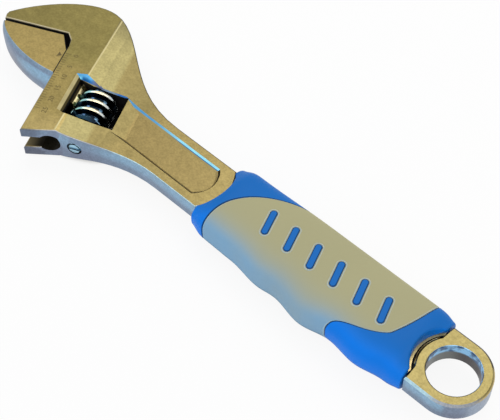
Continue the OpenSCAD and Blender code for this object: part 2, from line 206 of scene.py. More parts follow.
def noiseOf(place, scale, detail=3.0, roughness=0.5):
    return nodeBy(place, "TexNoise", {
        "Vector": place, "Scale": scale, "Detail": detail, "Roughness": roughness}).outputs["Fac"]


def bumpOf(bsdf, height, strength, distance):
    bump = nodeBy(height, "Bump", {"Height": height, "Strength": strength, "Distance": distance})
    feed(bsdf.inputs["Normal"], bump.outputs["Normal"])


# 1 where a camera, glossy or transmission ray looks, else 0
def whiteRays(tree):
    path = tree.nodes.new("ShaderNodeLightPath").outputs
    seen = mathOf("MAXIMUM", path["Is Camera Ray"], path["Is Glossy Ray"])
    return mathOf("MAXIMUM", seen, path["Is Transmission Ray"])


# mixes two shaders by a share and gives the result to the tree's output
def giveShaders(tree, share, first, second, output):
    blend = tree.nodes.new("ShaderNodeMixShader")
    for socket, value in zip(blend.inputs, (share, first.outputs[0], second.outputs[0])):
        feed(socket, value)
    feed(tree.nodes.new(output).inputs[0], blend.outputs[0])


studio = {
    "worldFill": 0.78, "floorWhite": 0.90, "floorSize": 3.0, "floorGap": 0.00005,
    "skyReach": 0.04, "deepShade": (0.26, 0.38), "shadePlace": (-16, 5), "shadeReach": (18, 22),
    "paper": (0.02, 0.92),  # from paper painted dark as deep shade to plain floor
    "centre": (0.08, 0.0, 0.0),
    "overhead": 2.0, "overheadOffset": (0.25, -0.47, 0.85), "overheadSize": (0.55, 0.5),  # watts, metres
    "side": 0.35, "sidePlace": (-0.25, 0.9, 0.45), "sideAim": (0.1, 0, 0), "sideSize": (0.8, 0.5),
    "sideColour": (0.8, 0.9, 1.0),
}

world = bpy.data.worlds.new("studioWorld")
bpy.context.scene.world = world
world.use_nodes = True
tree = world.node_tree
tree.nodes.clear()
fill, seen = (tree.nodes.new("ShaderNodeBackground") for _ in range(2))
for background, strength in ((fill, studio["worldFill"]), (seen, 1)):
    background.inputs["Color"].default_value = (1, 1, 1, 1)
    background.inputs["Strength"].default_value = strength
giveShaders(tree, whiteRays(tree), fill, seen, "ShaderNodeOutputWorld")

floorMesh = bpy.data.meshes.new("floor")
size = studio["floorSize"]
floorCorners = [(-size, -size, 0), (size, -size, 0), (size, size, 0), (-size, size, 0)]
floorMesh.from_pydata(floorCorners, [], [(0, 1, 2, 3)])
floor = addObject("floor", floorMesh)
floor.location.z = cadLow.z - studio["floorGap"]
floorMaterial = bpy.data.materials.new("paleFloor")
floorMaterial.use_nodes = True
tree = floorMaterial.node_tree
tree.nodes.clear()
paper = tree.nodes.new("ShaderNodeBsdfDiffuse")
glow = tree.nodes.new("ShaderNodeEmission")
glow.inputs["Color"].default_value = (1, 1, 1, 1)
# the paper's glow fades out under the head where little sky reaches it, so the shade below the window stays;
# there the paper itself is also painted dark, as painted shade
sky = tree.nodes.new("ShaderNodeAmbientOcclusion")
sky.samples = 8
sky.inputs["Distance"].default_value = studio["skyReach"]
place = tree.nodes.new("ShaderNodeTexCoord").outputs["Object"]
away = nodeBy(place, "VectorMath", {0: place, 1: headPoint(*studio["shadePlace"])}, "DISTANCE")
clear = ranged(sky.outputs["AO"], *studio["deepShade"], smooth=False)
far = ranged(away.outputs["Value"], *(mm(reach) for reach in studio["shadeReach"]), smooth=False)
fade = times(mathOf("MAXIMUM", clear, far), studio["floorWhite"])
# painted shade: the paper's colour darkens where the glow fades
feed(paper.inputs["Color"], ranged(fade, 0.0, studio["floorWhite"], *studio["paper"], smooth=False))
giveShaders(tree, times(whiteRays(tree), fade), paper, glow, "ShaderNodeOutputMaterial")
floorMesh.materials.append(floorMaterial)


def softBox(name, place, aim, size, watts, colour=(1, 1, 1)):
    data = bpy.data.lights.new(name, "AREA")
    data.shape = "RECTANGLE"
    data.size, data.size_y = size
    data.energy = watts
    data.color = colour
    lamp = addObject(name, data)
    lamp.location = place
    lamp.rotation_mode = "QUATERNION"
    lamp.rotation_quaternion = (Vector(aim) - Vector(place)).to_track_quat("-Z", "Y")
    return lamp


# one box lights the tool; the same box on the other three sides is only a reflection in the steel
centre = Vector(studio["centre"])
for turn in (0, 90, 180, 270):
    place = centre + Matrix.Rotation(math.radians(turn), 3, "Z") @ Vector(studio["overheadOffset"])
    box = softBox("overheadBox" + str(turn), place, centre, studio["overheadSize"], studio["overhead"])
    box.visible_diffuse = turn == 0
softBox("sideBox", studio["sidePlace"], studio["sideAim"], studio["sideSize"], studio["side"],
        studio["sideColour"])
print("camera and studio ready")


def newMaterial(name):
    material = bpy.data.materials.new(name)
    material.use_nodes = True
    nodes = material.node_tree.nodes
    coords = nodes.new("ShaderNodeTexCoord").outputs
    return material, nodes["Principled BSDF"], coords["Normal"], coords["Object"]


plating = {
    "low": (0.168, 0.194, 0.272, 1),  # cool upright walls, from the bottom up: a painted cool reflection, darker low and lighter high
    "high": (0.192, 0.248, 0.350, 1),
    "sky": (0.248, 0.405, 0.555, 1),  # painted reflection on walls that face the finger side
    # painted lighter reflection on walls that face the rear
    "rear": (0.280, 0.340, 0.430, 1),
    "edge": (0.370, 0.545, 0.620, 1),  # painted highlight on edges that face the finger side
    # dimmer painted edge highlights, on the head and round the ring, and on the jaw
    "dullEdgeHighlight": (0.290, 0.310, 0.340, 1),
    "jawEdgeHighlight": (0.200, 0.290, 0.390, 1),
    "shade": (0.035, 0.026, 0.010, 1),  # painted shade on edges that face the plain side
    "fingerSide": (-0.14, 0.99, 0.0),
    "plainSide": (0.55, -0.83, 0.0),
    # how far a face looks up, from the first value to the second
    "wall": (0.22, 0.50), "leaning": (0.86, 0.95), "tilted": (0.955, 0.985),
    # how far a face looks to a side before it takes that side's colour
    "edgeHighlightFrom": (0.12, 0.40), "shadeFrom": (0.10, 0.22),
    "skyFrom": (0.94, 0.99), "rearFrom": (0.75, 0.95),
    "wallHeight": ("z", -4, 3), "skyHeight": (0.2, 1.0, 0.25, 1.0), "skyEnd": ("x", 154, 140),
    # scale of a mottle, its darkest and its lightest
    "patch": (70.0, 0.93, 1.07), "speck": (420.0, 0.93, 1.07), "fine": (1500.0, 0.88, 1.12),
    "roughness": (0.32, 0.42), "grain": (2600.0, 4.0, 0.6), "bump": (0.12, 0.00004),
}
# warm satin faces of the body; a colour that takes over somewhere has its axis and its two places before it
bodyTones = {
    "upper": (0.202, 0.167, 0.056, 1),  # flat of the head
    "lower": ("w", -6, 3, (0.250, 0.195, 0.069, 1)),
    "tip": ("w", 17, 26, (0.305, 0.238, 0.093, 1)),
    "slopeFrom": ("u", -11.8, -12.2),  # slope behind the head, lighter with a painted highlight that is dull at its upper end
    "slope": (0.236, 0.203, 0.087, 1),
    "dull": ("w", -12, -28, (0.130, 0.112, 0.052, 1)),
    "neck": ("u", -20.5, -22.5, (0.186, 0.148, 0.058, 1)),
    "shank": ("x", 134, 127, (0.235, 0.182, 0.070, 1)),
    "hollow": ("depth", 2.75, 2.65, (0.215, 0.163, 0.063, 1)),  # floor of the long recess
    "ringFrom": ("x", 40, 30),
    "ring": (0.257, 0.208, 0.080, 1),
    "tang": ("depth", 3.5, 3.3, (0.520, 0.410, 0.190, 1)),  # strip beside the ring's groove, painted much lighter as a highlight against the shade of the grip
    # where the painted edge highlight turns bright along the shank and dull again round the ring
    "edgeHighlightBright": ("x", 134, 124), "edgeHighlightDull": ("x", 2, -3),
}
jawTone = (0.279, 0.212, 0.077, 1)


def bodyTone(place):
    tone = bodyTones
    flat = layered(place, tone["upper"], tone["lower"], tone["tip"])
    slope = layered(place, tone["slope"], tone["dull"])
    ring = layered(place, tone["ring"], tone["tang"])
    return layered(place, flat, (*tone["slopeFrom"], slope), tone["neck"], tone["shank"], tone["hollow"],
                   (*tone["ringFrom"], ring))


# painted highlight on the body's long edge: bright along the shank and duller on the head and round the ring
def bodyEdge(place):
    return layered(place, plating["dullEdgeHighlight"], (*bodyTones["edgeHighlightBright"], plating["edge"]),
                   (*bodyTones["edgeHighlightDull"], plating["dullEdgeHighlight"]))


# satin plated forging: warm on its flat faces; the rest is painted light: a painted cool reflection on its
# walls, darker low and lighter high, painted highlights on the edges and walls that face the finger side and
# on walls that face the rear, and painted shade on the edges that face the plain side
def platedSteel(name, toneOf, edgeHighlightOf, skyEnd=None):
    material, bsdf, normal, place = newMaterial(name)
    up = absolute(facing(normal, (0, 0, 1)))
    wallShare = ranged(up, *plating["wall"], 1.0, 0.0)
    leaning = ranged(up, *plating["leaning"], 1.0, 0.0)
    tilted = ranged(up, *plating["tilted"], 1.0, 0.0)
    toFingers = facing(normal, plating["fingerSide"])
    toPlain = facing(normal, plating["plainSide"])
    high = along(place, *plating["wallHeight"])
    # painted highlight on leaning edges that face the finger side
    edgeHighlightShare = times(leaning, ranged(toFingers, *plating["edgeHighlightFrom"]))
    colour = mixColours(edgeHighlightShare, toneOf(place), edgeHighlightOf(place))
    # painted shade on tilted edges that face the plain side
    shadeShare = times(tilted, ranged(toPlain, *plating["shadeFrom"]))
    colour = mixColours(shadeShare, colour, plating["shade"])
    # painted cool reflection on the walls, lighter higher up and on walls that face the rear
    wall = mixColours(high, plating["low"], plating["high"])
    toRear = facing(normal, (-1, 0, 0))
    wall = mixColours(ranged(toRear, *plating["rearFrom"]), wall, plating["rear"])
    # painted reflection high on the walls that face the finger side; on the body it fades out towards the
    # head
    skyReflectionShare = ranged(high, *plating["skyHeight"])
    if skyEnd:
        skyReflectionShare = times(skyReflectionShare, along(place, *skyEnd))
    skyReflectionShare = times(skyReflectionShare, ranged(toFingers, *plating["skyFrom"]))
    wall = mixColours(skyReflectionShare, wall, plating["sky"])
    colour = mixColours(wallShare, colour, wall)
    scale, darkest, lightest = plating["patch"]
    patch = noiseOf(place, scale)
    mottle = ranged(patch, 0.3, 0.7, darkest, lightest)
    for scale, darkest, lightest in (plating["speck"], plating["fine"]):
        mottle = times(mottle, ranged(noiseOf(place, scale, 2.0), 0.25, 0.75, darkest, lightest))
    feed(bsdf.inputs["Base Color"], scaled(colour, mottle))
    bsdf.inputs["Metallic"].default_value = 1.0
    feed(bsdf.inputs["Roughness"], ranged(patch, 0.3, 0.7, *plating["roughness"]))
    bumpOf(bsdf, noiseOf(place, *plating["grain"]), *plating["bump"])
    return material


plain = {"patch": 300.0, "rough": (0.85, 1.2), "gloss": 0.15, "grain": 3000.0, "bump": (0.08, 0.00003)}


# steel of one colour, or of the tone that a function gives for a place and a normal
def plainSteel(name, colour, roughness, darkest=0.8, metal=1.0):
    material, bsdf, normal, place = newMaterial(name)
    patch = noiseOf(place, plain["patch"])
    tone = colour if isinstance(colour, tuple) else colour(place, normal)
    feed(bsdf.inputs["Base Color"], scaled(tone, ranged(patch, 0.3, 0.7, darkest, 1.0)))
    bsdf.inputs["Metallic"].default_value = metal
    bsdf.inputs["Specular IOR Level"].default_value = plain["gloss"]
    feed(bsdf.inputs["Roughness"], ranged(patch, 0.3, 0.7, *(roughness * share for share in plain["rough"])))
    bumpOf(bsdf, noiseOf(place, plain["grain"]), *plain["bump"])
    return material


# a moulded material with a painted cool reflection where it faces the finger side and painted shade on faces
# that look down
def moulded(name, look):
    material, bsdf, normal, place = newMaterial(name)
    patch = noiseOf(place, 42.0)
    paler = tuple(min(1.0, v * 1.10) for v in look["colour"][:3]) + (1,)
    side = ranged(facing(normal, (0, 1, 0)), *look["sideFrom"])
    coolReflectionShare = times(side, ranged(patch, 0.25, 0.6, 0.7, 1.0))
    top = mixColours(patch, look["colour"], paler)
    # painted shade on faces that look down
    under = ranged(facing(normal, (0, 0, 1)), -0.5, 0.0, 0.55, 1.0)
    feed(bsdf.inputs["Base Color"], scaled(mixColours(coolReflectionShare, top, look["side"]), under))
    bsdf.inputs["Roughness"].default_value = look["roughness"]
    bsdf.inputs["Specular IOR Level"].default_value = look["gloss"]
    scale, strength = look["grain"]
    bumpOf(bsdf, noiseOf(place, scale), strength, 0.00005)
    return material


def engravedFill(name):
    material, bsdf, _, place = newMaterial(name)
    tone = mixColours(noiseOf(place, 900.0), (0.085, 0.062, 0.020, 1), (0.14, 0.105, 0.038, 1))
    feed(bsdf.inputs["Base Color"], tone)
    bsdf.inputs["Metallic"].default_value = 0.6
    bsdf.inputs["Roughness"].default_value = 0.6
    return material


# walls of the long recess, painted with light: a bright painted reflection along the top where they face the
# finger side, over a deeper blue, and a dark painted shade line along the top of the others
recessTones = {
    "bright": (0.330, 0.800, 1.000, 1), "brightEnd": ("x", 112, 130, (0.110, 0.350, 0.640, 1)),
    "deep": (0.030, 0.150, 0.380, 1), "deepEnd": ("x", 112, 124),
    "plain": (0.400, 0.310, 0.124, 1), "line": ("depth", 3.10, 3.20, (0.020, 0.012, 0.002, 1)),
    "deepFrom": ("depth", 2.95, 3.05), "brightFrom": ("depth", 3.12, 3.28), "fingerFrom": (0.45, 0.55),
}


def recessTone(place, normal):
    tone = recessTones
    lit = layered(place, tone["bright"], tone["brightEnd"])
    deep = layered(place, tone["deep"], (*tone["deepEnd"], tone["plain"]))
    far = layered(place, tone["plain"], (*tone["deepFrom"], deep), (*tone["brightFrom"], lit))
    near = layered(place, tone["plain"], tone["line"])
    return mixColours(ranged(facing(normal, (0, 1, 0)), *tone["fingerFrom"]), near, far)


# the front bevel of the window has a painted highlight and ends in a dark strip of painted shade
def bevelTone(place, normal):
    return layered(place, (0.470, 0.400, 0.200, 1), ("u", -8.6, -8.85, (0.060, 0.048, 0.020, 1)))


# the flared corner of the window is painted with reflections that run from a bright front to a deep blue
def flareTone(place, normal):
    return layered(
        place, (0.220, 0.640, 0.860, 1),
        ("u", -9.0, -10.3, (0.014, 0.120, 0.340, 1)), ("z", 5.4, 6.1, (0.100, 0.360, 0.660, 1)),
        ("u", -12.5, -15.5, (0.120, 0.150, 0.260, 1)), ("u", -17.0, -20.0, (0.190, 0.270, 0.360, 1)),
        ("u", -22.0, -24.0, (0.040, 0.170, 0.480, 1)))


# the rack's teeth take a warm, bright painted highlight; the rail between them and its bore are painted dark
# as shade
def railTone(place, normal):
    return layered(place, (0.020, 0.015, 0.007, 1), ("u", -10.0, -10.3, (0.900, 0.780, 0.420, 1)))


# the bore and slot of the rail get darker inwards, as painted shade
def boreTone(place, normal):
    return layered(place, (0.150, 0.120, 0.058, 1), ("u", -1.0, -5.0, (0.016, 0.013, 0.007, 1)))


# wall of the hang hole, painted with light: blue streaks of painted reflection at its upper edge, brownish
# grey below with a lighter painted reflection where it faces the rear, and painted shade towards the plain
# side
holeTones = {
    "blue": (0.070, 0.140, 0.270, 1), "streak": (0.300, 0.580, 0.860, 1), "streakNoise": (330.0, 2.0),
    "low": (0.095, 0.088, 0.090, 1), "lowRear": (0.175, 0.185, 0.180, 1), "dark": (0.034, 0.026, 0.012, 1),
    "blueFrom": ("z", 0.2, 1.2), "streakFrom": (0.42, 0.60), "rearFrom": (-0.2, -0.8), "darkFrom": (0.0, 0.3),
}


def holeTone(place, normal):
    tone = holeTones
    streak = ranged(noiseOf(place, *tone["streakNoise"]), *tone["streakFrom"])
    blue = mixColours(streak, tone["blue"], tone["streak"])
    toRear = ranged(facing(normal, (1, 0, 0)), *tone["rearFrom"])
    wall = layered(place, mixColours(toRear, tone["low"], tone["lowRear"]), (*tone["blueFrom"], blue))
    return mixColours(ranged(facing(normal, (0, -1, 0)), *tone["darkFrom"]), wall, tone["dark"])


# the body's finishes in the order of its material slots
bodyFinishes = {
    "plated": platedSteel("platedSteel", bodyTone, bodyEdge, plating["skyEnd"]),
    # painted highlight on the ridge's bevel
    "edge": plainSteel("ridgeHighlight", (0.340, 0.295, 0.150, 1), 0.35, 0.92),
    # near black painted shade inside the window, in the pin's seat, at the guide's lower end and in the
    # ring's groove
    "inner": plainSteel("innerShadeSteel", (0.012, 0.010, 0.009, 1), 0.6, 0.6, 0.0),
    "recess": plainSteel("recessSteel", recessTone, 0.35, 0.9),
    "bevel": plainSteel("bevelSteel", bevelTone, 0.35, 0.85),
    "flare": plainSteel("flareSteel", flareTone, 0.35, 0.6),
    "bore": plainSteel("boreSteel", boreTone, 0.5, 0.8, 0.0),
    "lip": plainSteel("lipSteel", (0.330, 0.290, 0.190, 1), 0.4),
    "hole": plainSteel("holeSteel", holeTone, 0.4, 0.85),
}
finishNames = list(bodyFinishes)
# the jaw takes the same painted light, with a dimmer painted edge highlight
jawFinish = platedSteel("jawSteel", lambda place: jawTone, lambda place: plating["jawEdgeHighlight"])
railFinish = plainSteel("railSteel", railTone, 0.35)

# "side" is a painted cool reflection towards the finger side, "grain" the scale and strength of the bump
blueFinish = moulded("mouldedBlue", {
    "colour": (0.006, 0.140, 0.490, 1), "side": (0.002, 0.220, 0.920, 1), "sideFrom": (-0.05, 0.75),
    "roughness": 0.42, "gloss": 0.10, "grain": (1800.0, 0.12)})
# painted shade for the seam's rounded rings and the rounded feet and edges of the bars
seamShadeFinish = moulded("seamShadeBlue", {
    "colour": (0.003, 0.060, 0.190, 1), "side": (0.002, 0.080, 0.300, 1), "sideFrom": (-0.05, 0.75),
    "roughness": 0.5, "gloss": 0.1, "grain": (1800.0, 0.12)})
greyFinish = moulded("softGrey", {
    "colour": (0.390, 0.370, 0.205, 1), "side": (0.228, 0.430, 0.640, 1), "sideFrom": (-0.05, 0.92),
    "roughness": 0.7, "gloss": 0.3, "grain": (2400.0, 0.2)})
# painted highlight for the skin's rounded rims and the lips round the bars
rimHighlightFinish = moulded("skinRimHighlight", {
    "colour": (0.430, 0.470, 0.400, 1), "side": (0.360, 0.560, 0.700, 1), "sideFrom": (0.3, 0.8),
    "roughness": 0.6, "gloss": 0.3, "grain": (2400.0, 0.1)})
markFinish = engravedFill("engravedFill")
print("materials ready")


def meshOf(name, work, materials=()):
    mesh = bpy.data.meshes.new(name)
    work.to_mesh(mesh)
    work.free()
    for material in materials:
        mesh.materials.append(material)
    return mesh


# makes a bmesh one piece of the scene; edges bent more than sharp degrees are sharp, None keeps its own
def meshPiece(name, work, materials, body, sharp=30):
    mesh = meshOf(name, work, materials)
    mesh.shade_smooth()
    if sharp:
        mesh.set_sharp_from_angle(angle=math.radians(sharp))
    piece = addObject(name, mesh)
    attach(piece, body)
    return piece


# bmesh of a CAD node with its loose triangles joined back into faces
def cleanCopy(node):
    work = bmesh.new()
    work.from_mesh(frame["nodes"][node].data)
    bmesh.ops.remove_doubles(work, verts=work.verts, dist=2e-7)
    bmesh.ops.dissolve_limit(work, angle_limit=math.radians(0.4), verts=work.verts, edges=work.edges)
    return work


# mesh of an object with its modifiers or its text applied; the object itself goes
def applied(item):
    bpy.context.view_layer.update()
    graph = bpy.context.evaluated_depsgraph_get()
    mesh = bpy.data.meshes.new_from_object(item.evaluated_get(graph))
    bpy.data.objects.remove(item)
    return mesh


# merges corners that a bevel or a cut leaves on one another
def mergeCorners(work):
    bmesh.ops.remove_doubles(work, verts=work.verts, dist=mm(0.002))
    bmesh.ops.dissolve_degenerate(work, edges=work.edges, dist=mm(0.001))


def bevelEdges(work, edges, offset, material=0, segments=1, profile=0.0, clamp=False):
    bmesh.ops.bevel(work, geom=edges, offset=mm(offset), segments=segments, profile=profile, affect="EDGES",
                    material=material, clamp_overlap=clamp)


# adds points in millimetres and their faces to a bmesh
def addShell(work, points, faces, material=0):
    verts = [work.verts.new(Vector(point) / 1000) for point in points]
    made = []
    for corners in faces:
        face = work.faces.new([verts[i] for i in corners])
        face.material_index = material
        made.append(face)
    return made


def pointsOf(rings):
    return [point for ring in rings for point in ring]


# quads between closed rings of equal length, as indices; joined also links the last ring to the first
def stitch(rings, count, joined=False):
    faces = []
    for r in range(rings if joined else rings - 1):
        s = (r + 1) % rings
        for j in range(count):
            k = (j + 1) % count
            faces.append((r * count + j, s * count + j, s * count + k, r * count + k))
    return faces


# the same with the first and the last ring closed by a face
def capped(rings, count):
    total = rings * count
    return stitch(rings, count) + [tuple(range(count)), tuple(range(total - 1, total - count - 1, -1))]


# moves a shell built in u, w and z to the head
def placeOnHead(work):
    bmesh.ops.transform(work, matrix=headPlace, verts=work.verts)
    bmesh.ops.recalc_face_normals(work, faces=work.faces)


def addWeightedNormals(piece):
    change = piece.modifiers.new("evenFaces", "WEIGHTED_NORMAL")
    change.keep_sharp = True
    change.weight = 50


wrenchBody = {
    "edge": 0.45, "steps": 3,  # rounded edge of the outline
    "windowEdge": 0.4, "windowEdgeEnd": -16.5, "windowEdgeRise": 4, "shortest": 0.5,
    "ridgeEdge": 0.28, "ridgeSlope": (0.95, 0.9985), "flat": 0.9995, "wall": 0.3, "facing": 0.8,
    "sharpBend": math.radians(24), "flatBend": math.radians(3),
    "window": ((-28.0, -7.0), (0.0, 19.8)),
    # how far a face looks up before it counts as a wall, a bevel or a flat
    "windowLift": (0.2, 0.95), "lipLift": (0.3, 0.985), "holeLift": 0.9, "slotLift": 0.99,
    "recessLift": (0.6, 0.8), "arcLift": (0.3, 0.93),
    "bore": 3.7, "boreNear": 0.3, "slotRise": 2.5, "guideFrom": -1,
    "mouthFrom": 10, "boreMouth": 4, "pinMouth": 3,  # openings in the end of the head
    "lip": (-15.5, -6.5), "lipFront": -14,  # lower end of the guide
    "holeEnd": 10, "holeReach": 8.8,
    "recess": (90, 140), "recessHalf": 8.6, "arcEnd": 102, "arcHalf": 7.6,
    "ringEdge": 11.4, "groove": 0.62, "grooveFloor": 1.7, "grooveTop": 5.0, "grooveSteps": 24,
    "shoulder": 8.8, "tang": 9.4, "tangOver": 0.4,
}


# an edge between an upright wall and a face that looks up or down
def atRim(edge):
    if len(edge.link_faces) != 2:
        return False
    wall, flat = sorted(abs(f.normal.z) for f in edge.link_faces)
    return wall < wrenchBody["wall"] and flat > wrenchBody["facing"]


def inWindow(point):
    p = onHead(point)
    (u0, u1), (w0, w1) = wrenchBody["window"]
    return u0 < p.x < u1 and w0 < p.y < w1


def edgeMiddle(edge):
    return (edge.verts[0].co + edge.verts[1].co) / 2


# the flat of the head ends in a straight ridge, where the neck starts to slope
def isRidge(edge):
    if len(edge.link_faces) != 2:
        return False
    slope, flat = sorted(abs(f.normal.z) for f in edge.link_faces)
    low, high = wrenchBody["ridgeSlope"]
    over = abs(edgeMiddle(edge).z) - mm(head["thickness"] / 2)
    return flat > wrenchBody["flat"] and low < slope < high and abs(over) < 1e-5


# the mouths of the rail's bore and of the pin's seat keep their sharp rims
def atMouth(point):
    if onHead(point).y <= wrenchBody["mouthFrom"]:
        return False
    atBore = fromAxis(point, head["railAxis"]) < wrenchBody["boreMouth"]
    return atBore or fromAxis(point, head["wormAxis"]) < wrenchBody["pinMouth"]


# edges of the window's upper wall, away from the worm, that get a bevel
def isTopEdge(edge):
    rule, middle = wrenchBody, edgeMiddle(edge)
    return (any((headInverse.to_3x3() @ f.normal).y > rule["facing"] for f in edge.link_faces)
            and onHead(middle).x < rule["windowEdgeEnd"] and abs(middle.z) > mm(rule["windowEdgeRise"])
            and edge.calc_length() > mm(rule["shortest"]))


work = cleanCopy("body")
ridge = [e for e in work.edges if isRidge(e)]
# the ridge gets a narrow bevel with a painted highlight
bevelEdges(work, ridge, wrenchBody["ridgeEdge"], finishNames.index("edge"))
rim = [e for e in work.edges if atRim(e)]
topEdges = [e for e in rim if inWindow(edgeMiddle(e)) and isTopEdge(e)]
outline = [e for e in rim if not inWindow(edgeMiddle(e)) and not atMouth(edgeMiddle(e))]
for edge in work.edges:
    if len(edge.link_faces) == 2:
        bend = edge.calc_face_angle(0)
        flats = [f for f in edge.link_faces if abs(f.normal.z) > wrenchBody["flat"]]
        leavesFlat = len(flats) == 1 and bend > wrenchBody["flatBend"]
        edge.smooth = not (bend > wrenchBody["sharpBend"] or leavesFlat)
for edge in outline:
    edge.smooth = True
print("body: ridge", len(ridge), "window", len(topEdges), "outline", len(outline))
# the window's top edges get a bevel with the flare's painted reflection
bevelEdges(work, topEdges, wrenchBody["windowEdge"], finishNames.index("flare"))
outline = [e for e in outline if e.is_valid]
bevelEdges(work, outline, wrenchBody["edge"], 0, wrenchBody["steps"], 0.5)
mergeCorners(work)


# the window's walls are painted near black as shade; its bevels take the painted light of the bevel and the
# flare
def windowFinish(lift, local):
    wall, bevel = wrenchBody["windowLift"]
    if lift < wall:
        return "inner"
    if lift < bevel and local.x < -0.2:
        return "bevel"
    return "flare" if lift < bevel and local.y > 0.2 else "plated"


# which of the body's finishes a face gets, by its place and the way it faces
def bodyFinish(face):
    rule = wrenchBody
    middle, normal = face.calc_center_median() * 1000, face.normal
    local, lift = headInverse.to_3x3() @ normal, abs(face.normal.z)
    u, w = onHead(middle / 1000).xy
    across = u - head["railAxis"]
    reach = math.hypot(across, middle.z)
    inward = local.x * across + normal.z * middle.z < -0.97 * reach
    if abs(reach - rule["bore"]) < rule["boreNear"] and inward:
        return "bore"
    if face.material_index:
        return finishNames[face.material_index]
    if inWindow(middle / 1000):
        return windowFinish(lift, local)
    # the pin's seat and the inside of the guide's lower end are painted near black as shade
    atPin = fromAxis(middle / 1000, head["wormAxis"]) < rule["pinMouth"]
    if w > rule["mouthFrom"] and atPin and abs(local.y) < 0.97:
        return "inner"
    (low, high), (wall, flat) = rule["lip"], rule["lipLift"]
    toJaw = local.y > 0.1 or local.x > 0.5 and w > rule["lipFront"]
    if u > rule["guideFrom"] and low < w < high and lift < flat and toJaw:
        return "inner" if lift < wall else "lip"
    if middle.x < rule["holeEnd"] and middle.xy.length < rule["holeReach"] and lift < rule["holeLift"]:
        return "hole"
    if lift > rule["slotLift"] and abs(middle.z) < rule["slotRise"] and u > head["railAxis"]:
        return "bore"
    (first, last), (low, high) = rule["recess"], rule["recessLift"]
    side = first < middle.x < last and abs(middle.y) < rule["recessHalf"] and low < lift < high
    low, high = rule["arcLift"]
    arc = first < middle.x < rule["arcEnd"] and abs(middle.y) < rule["arcHalf"] and low < lift < high
    return "recess" if side and abs(normal.x) < 0.05 or arc else "plated"


for face in work.faces:
    face.material_index = finishNames.index(bodyFinish(face))
plainObject = addObject("plainBody", meshOf("plainBody", work, bodyFinishes.values()))

# groove in the tang round the ring's shoulders, cut from both faces; its walls take the near black painted
# shade of the inner finish
cutter = bmesh.new()
ringEdge, groove, shoulder = wrenchBody["ringEdge"], wrenchBody["groove"], wrenchBody["shoulder"]
corner = math.asin(math.sqrt(ringEdge ** 2 - shoulder ** 2) / ringEdge)
steps, side = wrenchBody["grooveSteps"], wrenchBody["tang"] + wrenchBody["tangOver"]
turns = [corner * i / steps for i in range(-steps, steps + 1)]
inner, outer = ([(r * math.cos(a), r * math.sin(a)) for a in turns] for r in (ringEdge, ringEdge + groove))
inner = [(shoulder, -side)] + inner + [(shoulder, side)]
outer = [(shoulder + groove, -side)] + outer + [(shoulder + groove, side)]
for sign in (1, -1):
    heights = (sign * wrenchBody["grooveFloor"], sign * wrenchBody["grooveTop"])
    rings = [[(x, y, z) for x, y in inner + outer[::-1]] for z in heights]
    addShell(cutter, pointsOf(rings), capped(2, len(rings[0])))
bmesh.ops.recalc_face_normals(cutter, faces=cutter.faces)
cutterObject = addObject("cutter", meshOf("cutter", cutter, [bodyFinishes["inner"]]))
cut = plainObject.modifiers.new("groove", "BOOLEAN")
cut.operation = "DIFFERENCE"
cut.solver = "EXACT"
cut.object = cutterObject
work = bmesh.new()
work.from_mesh(applied(plainObject))
bpy.data.objects.remove(cutterObject)
mergeCorners(work)
bodyPiece = meshPiece("wrenchBody", work, bodyFinishes.values(), "handle", sharp=None)
addWeightedNormals(bodyPiece)
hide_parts("body")
print("body done", len(bodyPiece.data.polygons))

slidingJaw = {
    "length": 26.1, "face": -13.0, "throat": (3.6, 6.1), "guideGap": 0.12, "draft": 1.2, "rim": 0.16,
    "noseOver": 1, "noseBack": (0.4, 6), "shoulder": 15.4, "guideEnd": 17.9, "throatDraft": 0.4,
    "steps": 64, "levels": 12, "railOverlap": 0.01, "sharp": 26,
}


# outer curve of the jaw from its nose back to the guide, with the direction out of it
def jawCurve():
    n, face, length = slidingJaw["steps"], slidingJaw["face"], slidingJaw["length"]
    back, up = slidingJaw["noseBack"]
    a, b = (length + slidingJaw["noseOver"], face), (length - back, face + up)
    c = (length / 2, face + slidingJaw["shoulder"])
    d = (slidingJaw["guideGap"], face + slidingJaw["guideEnd"])
    points = []
    for i in range(n + 1):
        t = i / n
        k = 1 - t
        points.append(Vector([k ** 3 * a[m] + 3 * k * k * t * b[m] + 3 * k * t * t * c[m] + t ** 3 * d[m]
                              for m in (0, 1)]))
    outward = [Vector((1, 0))]
    for i in range(1, n):
        chord = points[i + 1] - points[i - 1]
        outward.append(Vector((chord.y, -chord.x)).normalized())
    outward.append(Vector((0, 1)))
    return points, outward


def jawRing(z, points, outward, extra=0.0):
    face, gap, throatDraft = slidingJaw["face"], slidingJaw["guideGap"], slidingJaw["throatDraft"]
    throatU, throatW = slidingJaw["throat"]
    inset = slidingJaw["draft"] * abs(z / (head["thickness"] / 2)) ** 4 + extra
    ring = [(*(p - inset * o), z) for p, o in zip(points, outward)]
    ring.append((gap + extra, face + throatW - extra * throatDraft, z))
    ring.append((throatU + extra * throatDraft, face + extra, z))
    # the guide end and the mouth end keep to the two flat faces, but step in with the rim
    if extra:
        ring = [(x, max(y, face + extra), h) for x, y, h in ring]
        ring[len(points) - 1] = (gap + extra, ring[len(points) - 1][1], z)
    return ring


points, outward = jawCurve()
half, rim, levels = head["thickness"] / 2, slidingJaw["rim"], slidingJaw["levels"]
heights = [(half - rim) * math.sin(math.pi / 2 * (2 * i / levels - 1)) for i in range(levels + 1)]
rings = [jawRing(-half, points, outward, rim)]
rings += [jawRing(z, points, outward) for z in heights]
rings.append(jawRing(half, points, outward, rim))
work = bmesh.new()
addShell(work, pointsOf(rings), capped(len(rings), len(rings[0])))
placeOnHead(work)
